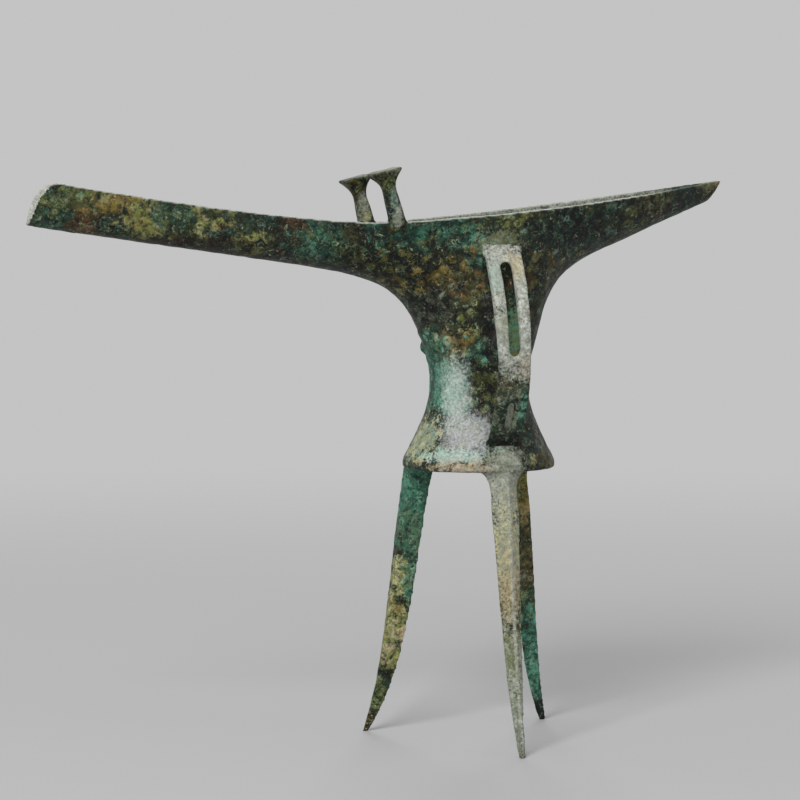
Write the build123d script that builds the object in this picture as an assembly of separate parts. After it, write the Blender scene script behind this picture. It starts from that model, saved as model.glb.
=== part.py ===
from build123d import *
import os
from math import cos, exp, pi, radians, sin, sqrt

# A waisted, flat-bottomed bronze jue: long open spout, pointed tail, two short posts on the rim,
# a slotted strap handle and three ridged legs. Sizes are in millimetres. While it is made, the
# body's upright axis is at x = y = 0 and the floor at z = 0; X runs from the spout to the tail
# and the handle is at -Y. Rises are heights above the underside of the base.

# Body
leg_height = 108.0
base_radius = 30.0
plate_thickness = 3.0
waist_radius = 19.4
waist_rise = 31.0
seam_radius = 19.9
seam_rise = 41.0
skirt_lean = 0.5
seam_lean = 0.14
wall = 1.8

# Mouth, as an outline seen from above
mouth_centre = 5.0
mouth_half_width = 26.0
mouth_swell = 40.0
spout_reach = 180.8
spout_tip_half_width = 8.0
spout_root_half_width = 16.0
tail_reach = 105.0
tail_tip_half_width = 1.3
tail_taper = 1.8
tail_solid = 8.0

# Mouth, as an edge seen from the side
rim_dip_reach = 48.0
rim_rise = 96.2
spout_top_reach = 168.0
spout_lift = 14.2
tail_lift = 17.3
rim_sweep = 1.42
spout_end_skew = 5.0
spout_end_rake = 0.45
spout_end_fall = 0.1
tail_end_run = 9.0
tail_end_rake = 0.5

# Underside of the spout and the tail
spout_keel_tip_rise = 95.1
spout_keel_root_rise = 69.6
spout_neck_run = 9.5
tail_keel_tip_rise = 107.5
tail_keel_root_rise = 65.0
tail_neck_run = 6.2
cup_fullness = 1.15
spout_fullness = 2.4
tail_fullness = 1.5
fullness_run = 38.0

# Thickened edge, and the places where spout and tail meet the upper body
lip_height = 2.2
lip_overhang = 0.45
spout_seam_reach = 56.0
tail_seam_reach = 46.0

# Posts on the rim
post_reach = 40.5
post_lean = 15.0
post_length = 6.4
post_depth = 5.0
post_neck_length = 5.0
post_neck_depth = 4.4
post_corner = 1.4
post_foot = 3.2
post_foot_length = 8.0
post_foot_depth = 3.4
post_height_near = 12.5
post_height_far = 10.5
cap_height = 7.0
cap_edge = 0.9
cap_flare = 2.0
cap_length = 11.8
cap_depth = 10.4

# Handle
handle_top_width = 15.0
handle_width = 12.8
handle_thickness = 3.0
handle_reach = 39.4
handle_top_rise = 88.5
handle_shoulder_drop = 12.0
handle_shoulder_inset = 8.0
handle_middle_rise = 43.0
handle_hip_rise = 24.0
handle_hip_inset = 4.2
handle_bottom_rise = 9.5
handle_seat = 1.0
slot_width = 5.2
slot_length = 36.0
slot_middle_rise = 63.2
low_slot_width = 3.4
low_slot_length = 11.5
low_slot_middle_rise = 21.8
tenon_width = 8.0
tenon_height = 3.0
tenon_drop = 2.4

# Legs
leg_overhang = 0.6
leg_splay = 12.0
leg_bow = 0.85
foot_kick = 5.0
foot_bend = 5.5
leg_depth = 11.0
leg_width = 11.6
leg_depth_hold = 3.5
leg_width_hold = 1.6
leg_root_fullness = 0.58
leg_foot_fullness = 0.96
foot_depth = 2.4
foot_width = 3.2
root_flare_depth = 2.0
root_flare_depth_run = 18.0
root_flare_width = 7.0
root_flare_width_run = 2.2
rear_leg_turn = 124.7
leg_tenon_depth = 5.0
leg_tenon_width = 4.0

# Ornament on the side away from the handle
ridge_height = 0.4
ridge_width = 1.7
lower_ridge_rise = 42.4
upper_ridge_rise = 52.4
ridge_start = 3.0
boss_count = 5
boss_step = 34.5
boss_rise = 47.4
boss_radius = 3.0
boss_height = 1.7

# How finely the shapes are sampled, and how far cutting blocks run past the vessel
section_steps = 14
rim_steps = 14
spout_steps = 9
cup_steps = 28
tail_steps = 7
leg_steps = 9
cap_steps = 5
overrun = 10.0
end_clearance = 0.6
edge_margin = 4.0
search_steps = 40


# Outlines that the vessel's surfaces follow


def rim_height(x):
    """Rise of the mouth's edge at x: lowest at the dip, sweeping up to both ends."""
    if x < -rim_dip_reach:
        share = (-rim_dip_reach - x) / (spout_top_reach - rim_dip_reach)
        return rim_rise + spout_lift * share**rim_sweep
    share = (x + rim_dip_reach) / (tail_reach + rim_dip_reach)
    return rim_rise + tail_lift * share**rim_sweep


def spout_half_width(x):
    """Half-width of the plain spout, which widens evenly towards the axis."""
    return spout_tip_half_width + (spout_root_half_width - spout_tip_half_width) * (1 + x / spout_reach)


def half_width(x):
    """Half-width of the mouth at x, seen from above."""
    if x < mouth_centre:
        swell = exp(-0.5 * ((x - mouth_centre) / mouth_swell) ** 2)
        return spout_half_width(x) + (mouth_half_width - spout_half_width(mouth_centre)) * swell
    share = (x - mouth_centre) / (tail_reach - mouth_centre)
    return tail_tip_half_width + (mouth_half_width - tail_tip_half_width) * (1 - share**tail_taper)


def fullness(x):
    """How round the upright section at x is: low is slack and pointed, high is boxy."""
    end = spout_fullness if x < 0 else tail_fullness
    share = min(max((abs(x) - seam_radius) / fullness_run, 0.0), 1.0)
    ease = share * share * (3 - 2 * share)
    return cup_fullness + (end - cup_fullness) * ease


def plain_keel(x):
    """Rise of the straight underside of the spout or the tail, carried on to the axis."""
    if x < 0:
        return spout_keel_root_rise - (spout_keel_tip_rise - spout_keel_root_rise) * x / spout_reach
    return tail_keel_root_rise + (tail_keel_tip_rise - tail_keel_root_rise) * x / tail_reach


def keel_height(x, inset):
    """Rise of the underside at x, for the surface that lies inset inside the outer one.

    Past the seam circle the straight underside drops away in a neck. Within it the section runs on
    below the seam, so that it crosses the seam plane on the circle.
    """
    radius = seam_radius - inset
    if abs(x) < radius:
        chord = (radius**2 - x**2) / (half_width(x) - inset) ** 2
        return rim_height(x) - (rim_height(x) - seam_rise) / (1 - chord) ** (1 / fullness(x))
    root = -radius if x < 0 else radius
    run = spout_neck_run if x < 0 else tail_neck_run
    drop = plain_keel(root) + inset - seam_rise
    return plain_keel(x) + inset - drop * exp(-(abs(x) - radius) / run)


def side_distance(x, rise):
    """Half-width of the outer surface at x and at a rise."""
    share = (rim_height(x) - rise) / (rim_height(x) - keel_height(x, 0.0))
    if share >= 1:
        return 0.0
    return half_width(x) * sqrt(1 - max(share, 0.0) ** fullness(x))


def surface_radius(turn, rise):
    """Distance from the axis to the outer surface, in the direction turn, by halving."""
    near, far = 0.0, mouth_half_width + seam_radius
    for _ in range(search_steps):
        middle = (near + far) / 2
        if abs(middle * sin(turn)) < side_distance(middle * cos(turn), rise):
            near = middle
        else:
            far = middle
    return near


def skirt_profile(inset):
    """Edge of the lower body's surface, from the base plate up to the seam, at y = 0."""
    return Edge.make_spline(
        [
            (base_radius - inset, 0, leg_height + plate_thickness),
            (waist_radius - inset, 0, leg_height + waist_rise),
            (seam_radius - inset, 0, leg_height + seam_rise),
        ],
        tangents=[(-skirt_lean, 0, 1), (seam_lean, 0, 1)],
    )


# Helpers


def closed_face(edges):
    return Face(Wire(edges))


def across(face, reach):
    """Prism of an upright face at y = 0, run out to both sides."""
    return extrude(face, amount=reach, dir=(0, 1, 0), both=True)


def block(low, high):
    """Plain block between two corners."""
    size = [h - l for l, h in zip(low, high)]
    middle = [(l + h) / 2 for l, h in zip(low, high)]
    return Pos(*middle) * Box(*size)


block_half = mouth_half_width + overrun
block_top = leg_height + rim_rise + spout_lift + tail_lift + overrun
seam_height = leg_height + seam_rise
spout_past = spout_reach + overrun
tail_past = tail_reach + overrun

# Each part of the upper vessel: where it starts and ends on X, its steps, and whether it is faceted
spans = {
    "spout": (-spout_past, -spout_seam_reach, spout_steps, False),
    "cup": (-spout_seam_reach, tail_seam_reach, cup_steps, True),
    "tail": (tail_seam_reach, tail_reach, tail_steps, False),
}


# Upper vessel: spout, bowl and tail share one pair of surfaces


def hull_section(x, inset):
    """Closed U of the vessel at x, carried up above the rim."""
    width = half_width(x) - inset
    depth = rim_height(x) - keel_height(x, inset)
    power = 2 / fullness(x)
    edge_height = leg_height + rim_height(x)
    turns = [pi * step / section_steps for step in range(-1, section_steps + 2)]
    points = [(x, width, edge_height + edge_margin)]
    for turn in turns[1:-1]:
        fall = depth * max(sin(turn), 0.0) ** power
        points.append((x, width * cos(turn), edge_height - fall))
    points.append((x, -width, edge_height + edge_margin))
    curve = Edge.make_spline(points, parameters=turns)
    left_top = (x, points[-1][1], block_top)
    right_top = (x, points[0][1], block_top)
    return Wire(
        [
            curve,
            Edge.make_line(points[-1], left_top),
            Edge.make_line(left_top, right_top),
            Edge.make_line(right_top, points[0]),
        ]
    )


def hull(part, inset):
    """Solid inside the vessel's surface, over one of its three parts."""
    low, high, steps, faceted = spans[part]
    if part == "tail" and inset > 0:
        high -= tail_solid
    places = [low + (high - low) * step / steps for step in range(steps + 1)]
    return Solid.make_loft([hull_section(x, inset) for x in places], faceted)


def rim_curve(drop):
    """The mouth's edge from end to end, lowered by drop."""
    run = spout_past + tail_reach
    points = []
    for step in range(rim_steps + 1):
        x = -spout_past + run * step / rim_steps
        points.append((x, 0, leg_height + rim_height(x) - drop))
    return Edge.make_spline(points)


def wall_zone():
    """Everything between the seam plane and the lip."""
    edge = rim_curve(lip_height)
    start, end = edge @ 0, edge @ 1
    low_start = (start.X, 0, seam_height)
    low_end = (end.X, 0, seam_height)
    face = closed_face(
        [
            edge,
            Edge.make_line(end, low_end),
            Edge.make_line(low_end, low_start),
            Edge.make_line(low_start, start),
        ]
    )
    return across(face, block_half)


def lip_zone():
    """The band of the lip, just under the mouth's edge."""
    top, bottom = rim_curve(0.0), rim_curve(lip_height)
    face = closed_face(
        [top, Edge.make_line(top @ 1, bottom @ 1), bottom, Edge.make_line(bottom @ 0, top @ 0)]
    )
    return across(face, block_half)


def spout_end_cutter():
    """What lies beyond the spout's rounded, slightly skew end."""
    top = (-spout_top_reach, 0, leg_height + rim_height(-spout_top_reach) + end_clearance)
    tip = (-spout_reach, 0, leg_height + spout_keel_tip_rise - end_clearance)
    far = -spout_past - overrun
    curve = Edge.make_spline([top, tip], tangents=[(-1, 0, -spout_end_fall), (-spout_end_rake, 0, -1)])
    corners = [
        tip,
        (-spout_reach, 0, seam_height),
        (far, 0, seam_height),
        (far, 0, block_top),
        (-spout_top_reach, 0, block_top),
        top,
    ]
    lines = [Edge.make_line(a, b) for a, b in zip(corners, corners[1:])]
    cutter = across(closed_face([curve] + lines), block_half)
    return cutter.rotate(Axis((-spout_reach, 0, 0), (0, 0, 1)), -spout_end_skew)


def tail_end_cutter():
    """What lies beyond the tail's rounded tip."""
    top = (tail_reach, 0, leg_height + rim_height(tail_reach) + end_clearance)
    under_x = tail_reach - tail_end_run
    under = (under_x, 0, leg_height + keel_height(under_x, 0.0) - end_clearance)
    curve = Edge.make_spline([top, under], tangents=[(-tail_end_rake, 0, -1), (-1, 0, -tail_end_rake)])
    corners = [
        under,
        (under_x, 0, seam_height),
        (tail_past, 0, seam_height),
        (tail_past, 0, block_top),
        (tail_reach, 0, block_top),
        top,
    ]
    lines = [Edge.make_line(a, b) for a, b in zip(corners, corners[1:])]
    return across(closed_face([curve] + lines), block_half)


near_side = block((-spout_past, -block_half, 0), (tail_past, 0, block_top))
far_side = block((-spout_past, 0, 0), (tail_past, block_half, block_top))
ends = [spout_end_cutter(), tail_end_cutter()]
walls = {}
lips = {}
for part in spans:
    inside = hull(part, wall)
    walls[part] = ((hull(part, 0.0) - inside) & wall_zone()) - ends
    lips[part] = ((hull(part, -lip_overhang) - inside) & lip_zone()) - ends

cup_outside = hull("cup", 0.0)
upper_body = walls["cup"]
lip_nodes = {}
for part, lip in lips.items():
    edge = "rim" if part == "cup" else part
    lip_nodes[f"{edge}_lip_near"] = lip & near_side
    lip_nodes[f"{edge}_lip_far"] = lip & far_side


# Lower body and base plate


def turned(inset):
    """Solid inside the lower body's surface."""
    profile = skirt_profile(inset)
    foot = (0, 0, leg_height + plate_thickness)
    crown = (0, 0, seam_height)
    face = closed_face(
        [
            profile,
            Edge.make_line(profile @ 1, crown),
            Edge.make_line(crown, foot),
            Edge.make_line(foot, profile @ 0),
        ]
    )
    return revolve(face, Axis.Z)


lower_outside = turned(0.0)
lower_body = lower_outside - turned(wall)
base_plate = Pos(0, 0, leg_height + plate_thickness / 2) * Cylinder(base_radius, plate_thickness)


# Legs


def leg_radii(share):
    """Inner edge, widest line and outer ridge of a leg, as distances from the axis."""
    outer = base_radius + leg_overhang + leg_splay * share**leg_bow + foot_kick * share**foot_bend
    depth = foot_depth + (leg_depth - foot_depth) * (1 - share**leg_depth_hold)
    depth += root_flare_depth * exp(-share * leg_height / root_flare_depth_run)
    inner = outer - depth
    fullness_here = leg_root_fullness + (leg_foot_fullness - leg_root_fullness) * share
    return inner, inner + depth * fullness_here, outer


def leg_section(share):
    """Kite of a leg, thin edge inwards, at a share of the way from the base to the floor."""
    inner, widest, outer = leg_radii(share)
    width = foot_width + (leg_width - foot_width) * (1 - share**leg_width_hold)
    width += root_flare_width * exp(-share * leg_height / root_flare_width_run)
    z = leg_height * (1 - share)
    return Wire.make_polygon([(outer, 0, z), (widest, width / 2, z), (inner, 0, z), (widest, -width / 2, z)])


def leg_tenon():
    """Peg on top of a leg, through the base plate, just inside the leg's widest line."""
    widest = leg_radii(0.0)[1]
    low = (widest - leg_tenon_depth, -leg_tenon_width / 2, leg_height)
    high = (widest, leg_tenon_width / 2, leg_height + plate_thickness)
    return block(low, high)


def leg_shares():
    """Heights of the sections, close together at the flared root and at the foot."""
    return [(1 - cos(pi * step / leg_steps)) / 2 for step in range(leg_steps + 1)]


straight_leg = Solid.make_loft([leg_section(share) for share in leg_shares()])
whole_leg = straight_leg + leg_tenon()
leg_turns = {"leg_handle": -90.0, "leg_tail": rear_leg_turn - 90.0, "leg_spout": 270.0 - rear_leg_turn}
legs = {name: Rot(0, 0, turn) * whole_leg for name, turn in leg_turns.items()}
base_plate -= [Rot(0, 0, turn) * leg_tenon() for turn in leg_turns.values()]


# Handle


def handle_face(inset):
    """Points of the strap's face that lies inset behind the outer one, from the rim down."""
    top_seat = side_distance(0.0, handle_top_rise) - handle_seat
    bottom_seat = skirt_radius(handle_bottom_rise) - handle_seat
    return [
        (0, -top_seat, leg_height + handle_top_rise - inset),
        (
            0,
            -(handle_reach - handle_shoulder_inset - inset),
            leg_height + handle_top_rise - handle_shoulder_drop - inset / 2,
        ),
        (0, -(handle_reach - inset), leg_height + handle_middle_rise),
        (0, -(handle_reach - handle_hip_inset - inset), leg_height + handle_hip_rise),
        (0, -bottom_seat, leg_height + handle_bottom_rise + inset),
    ]


def skirt_radius(rise):
    """Radius of the lower body's outer surface at a rise."""
    profile = skirt_profile(0.0)
    low, high = 0.0, 1.0
    for _ in range(search_steps):
        middle = (low + high) / 2
        if (profile @ middle).Z < leg_height + rise:
            low = middle
        else:
            high = middle
    return (profile @ low).X


def handle_outline():
    """Prism of the strap's front view, which narrows evenly from its top to its middle."""
    rises = [0.0, handle_middle_rise, handle_top_rise, handle_top_rise + overrun]
    widths = [handle_width, handle_width, handle_top_width, handle_top_width]
    right = [(width / 2, 0, leg_height + rise) for width, rise in zip(widths, rises)]
    left = [(-x, y, z) for x, y, z in reversed(right)]
    return extrude(Face(Wire.make_polygon(right + left)), amount=handle_reach + overrun, dir=(0, -1, 0))


def slot_cutter(width, length, rise):
    """Round-ended slot through the strap."""
    shape = Plane.XZ * Pos(0, leg_height + rise) * SlotOverall(length, width, 90)
    return extrude(shape, amount=handle_reach + overrun)


def tenon(rise):
    """Peg through the wall behind one end of the strap, before it is trimmed to the wall."""
    z = leg_height + rise
    low = (-tenon_width / 2, -handle_reach, z - tenon_height / 2)
    high = (tenon_width / 2, 0, z + tenon_height / 2)
    return block(low, high)


outer_face = handle_face(0.0)
inner_face = handle_face(handle_thickness)
strap = closed_face(
    [
        Edge.make_spline(outer_face),
        Edge.make_line(outer_face[-1], inner_face[-1]),
        Edge.make_spline(inner_face),
        Edge.make_line(inner_face[0], outer_face[0]),
    ]
)
strap = extrude(strap, amount=handle_top_width / 2, dir=(1, 0, 0), both=True) & handle_outline()
strap -= [
    slot_cutter(slot_width, slot_length, slot_middle_rise),
    slot_cutter(low_slot_width, low_slot_length, low_slot_middle_rise),
]
strap -= [cup_outside, lower_outside]
top_tenon = tenon(handle_top_rise - tenon_drop)
bottom_tenon = tenon(handle_bottom_rise + tenon_drop)
handle = strap + (top_tenon & upper_body) + (bottom_tenon & lower_body)
upper_body -= top_tenon
lower_body -= bottom_tenon


# Posts and their caps


def post_plane(side, rise):
    """Plane square to a post's leaning axis, at a height along it above the rim."""
    y = side * (half_width(-post_reach) - wall / 2)
    lean = radians(post_lean)
    foot = Vector(-post_reach, y, leg_height + rim_height(-post_reach))
    axis = Vector(-sin(lean), 0, cos(lean))
    return Plane(foot + axis * rise, x_dir=(cos(lean), 0, sin(lean)), z_dir=axis)


def post_section(side, rise, length, depth):
    """Rounded rectangle across a post."""
    return post_plane(side, rise) * RectangleRounded(length, depth, post_corner)


def post_shaft(side, height):
    """Post from its spreading foot, astride the rim, up to its neck."""
    sections = [
        post_section(side, -post_foot, post_foot_length, post_foot_depth),
        post_section(side, 0.0, post_length, post_depth),
        post_section(side, height, post_neck_length, post_neck_depth),
    ]
    return loft(sections, ruled=True)


def post_cap(side, height):
    """Flared cap with a thin flat edge."""
    sections = []
    for step in range(cap_steps + 1):
        share = step / cap_steps
        length = post_neck_length + (cap_length - post_neck_length) * share**cap_flare
        depth = post_neck_depth + (cap_depth - post_neck_depth) * share**cap_flare
        sections.append(post_section(side, height + cap_height * share, length, depth))
    flare = loft(sections, ruled=True)
    edge = extrude(post_section(side, height + cap_height, cap_length, cap_depth), amount=cap_edge)
    return flare + edge


post_sides = {"near": (-1, post_height_near), "far": (1, post_height_far)}
post_nodes = {}
for edge, (side, height) in post_sides.items():
    post_nodes[f"post_{edge}"] = post_shaft(side, height) - [lip_nodes[f"rim_lip_{edge}"], upper_body]
    post_nodes[f"post_cap_{edge}"] = post_cap(side, height)


# Ornament


def bowstring(rise):
    """Raised line that follows the body on the side away from the handle."""
    low = (-block_half, ridge_start, leg_height + rise - ridge_width / 2)
    high = (block_half, block_half, leg_height + rise + ridge_width / 2)
    return (hull("cup", -ridge_height) & block(low, high)) - cup_outside


def boss(place):
    """Round boss at a numbered place in the row, centred on the side away from the handle."""
    turn = radians(90 + boss_step * (place - (boss_count - 1) / 2))
    middle = surface_radius(turn, boss_rise) + boss_height - boss_radius
    where = Pos(middle * cos(turn), middle * sin(turn), leg_height + boss_rise)
    return where * Sphere(boss_radius) - cup_outside


bosses = [boss(place) for place in range(boss_count)]

nodes = {
    "lower_body": lower_body,
    "upper_body": upper_body,
    "base_plate": base_plate,
    "spout": walls["spout"],
    "tail": walls["tail"],
    **lip_nodes,
    **post_nodes,
    "handle": handle,
    **legs,
    "bowstring_lower": bowstring(lower_ridge_rise),
    "bowstring_upper": bowstring(upper_ridge_rise),
    "bosses": Compound(children=[solid for shape in bosses for solid in shape.solids()]),
}

# The origin goes to the middle of the vessel's footprint, on the floor
whole = Compound(children=[solid for shape in nodes.values() for solid in shape.solids()])
middle = whole.bounding_box().center()
place = Pos(-middle.X, -middle.Y, 0)

os.makedirs("parts", exist_ok=True)
for name, shape in nodes.items():
    export_step(place * shape, f"parts/{name}.step")
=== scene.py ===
"""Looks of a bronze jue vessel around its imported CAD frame, laid out as a Blender add-on.

The CAD members are melted into one cast skin, which is roughened as old bronze is and shared out
again, so that every member keeps a piece of its own and no seam shows. Lengths are in metres, in the
frame of the CAD: X runs from the spout to the tail, the handle is at -Y and the feet are at Z = 0.
"""

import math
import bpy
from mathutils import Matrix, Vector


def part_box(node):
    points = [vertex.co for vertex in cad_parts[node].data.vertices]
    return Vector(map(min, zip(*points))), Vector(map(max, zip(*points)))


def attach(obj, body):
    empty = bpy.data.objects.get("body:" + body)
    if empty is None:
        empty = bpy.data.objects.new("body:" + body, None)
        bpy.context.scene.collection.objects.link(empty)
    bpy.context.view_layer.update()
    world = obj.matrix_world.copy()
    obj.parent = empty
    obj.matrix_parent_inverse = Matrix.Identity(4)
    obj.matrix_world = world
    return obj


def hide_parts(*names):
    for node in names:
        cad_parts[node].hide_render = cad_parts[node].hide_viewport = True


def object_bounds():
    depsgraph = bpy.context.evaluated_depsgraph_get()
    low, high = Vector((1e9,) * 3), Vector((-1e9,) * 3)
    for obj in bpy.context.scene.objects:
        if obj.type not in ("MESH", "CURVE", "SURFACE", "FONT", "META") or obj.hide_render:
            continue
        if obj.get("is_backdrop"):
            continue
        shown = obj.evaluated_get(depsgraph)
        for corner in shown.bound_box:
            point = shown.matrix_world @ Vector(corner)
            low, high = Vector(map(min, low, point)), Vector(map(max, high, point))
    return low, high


bl_info = {
    "name": "Bronze Jue Vessel",
    "version": (1, 0, 0),
    "blender": (4, 5, 0),
    "location": "View3D > Sidebar > Jue",
    "description": "Dresses the CAD frame of a bronze jue as one cast, corroded skin",
    "category": "Object",
}

import bmesh
import bpy
import numpy as np
from mathutils import Vector, noise
from mathutils.bvhtree import BVHTree

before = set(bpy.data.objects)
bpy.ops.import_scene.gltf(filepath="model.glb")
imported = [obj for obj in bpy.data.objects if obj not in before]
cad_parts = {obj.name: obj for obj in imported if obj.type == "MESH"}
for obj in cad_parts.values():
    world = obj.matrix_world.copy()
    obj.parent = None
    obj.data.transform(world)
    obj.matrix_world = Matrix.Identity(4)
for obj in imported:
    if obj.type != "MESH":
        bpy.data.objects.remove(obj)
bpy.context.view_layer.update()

SKIN_NAME = "jue_skin"
BODY = "root"

# Members of the vessel, in the groups that are made together
GROUPS = {
    "body": ["lower_body", "upper_body", "base_plate"],
    "spout": ["spout", "spout_lip_near", "spout_lip_far"],
    "tail": ["tail", "tail_lip_near", "tail_lip_far"],
    "mouth": ["rim_lip_near", "rim_lip_far"],
    "posts": ["post_near", "post_far", "post_cap_near", "post_cap_far"],
    "handle": ["handle"],
    "legs": ["leg_handle", "leg_spout", "leg_tail"],
    "ornament": ["bowstring_lower", "bowstring_upper", "bosses"],
}

# Finish of each group's outside
FINISHES = {
    "body": "body",
    "spout": "spout",
    "tail": "tail",
    "mouth": "body",
    "posts": "posts",
    "handle": "handle",
    "legs": "legs",
    "ornament": "body",
}

# How strongly each finish's crusts gather into lumps, from none at 0 to clear ones at 1
LUMPINESS = {
    "body": 1.0,
    "spout": 0.45,
    "tail": 0.85,
    "posts": 0.50,
    "handle": 0.90,
    "legs": 0.35,
    "inside": 0.30,
}

# Open troughs, with how far facing the body's axis along X counts as inside; the spout's end faces away
OPEN_TROUGHS = {"upper_body": 0.0, "spout": -0.15, "tail": 0.15}
ROUND_WALLS = {"lower_body", "base_plate"}
BASE_EDGE = 0.0022
FLOOR_SLOPE = 0.6
RIM_INNER_SLOPE = 0.5

# Tops of the lips made pale where they face up, partly worn metal and partly painted highlight from the
# light above: upward slopes at which the paleness starts and is full, and where along X it ends
WEAR_AND_HIGHLIGHT = "wear_and_highlight"
WORN_AND_LIT_SLOPES = (0.30, 0.75)
TAIL_FADE = (0.095, 0.125)
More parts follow.
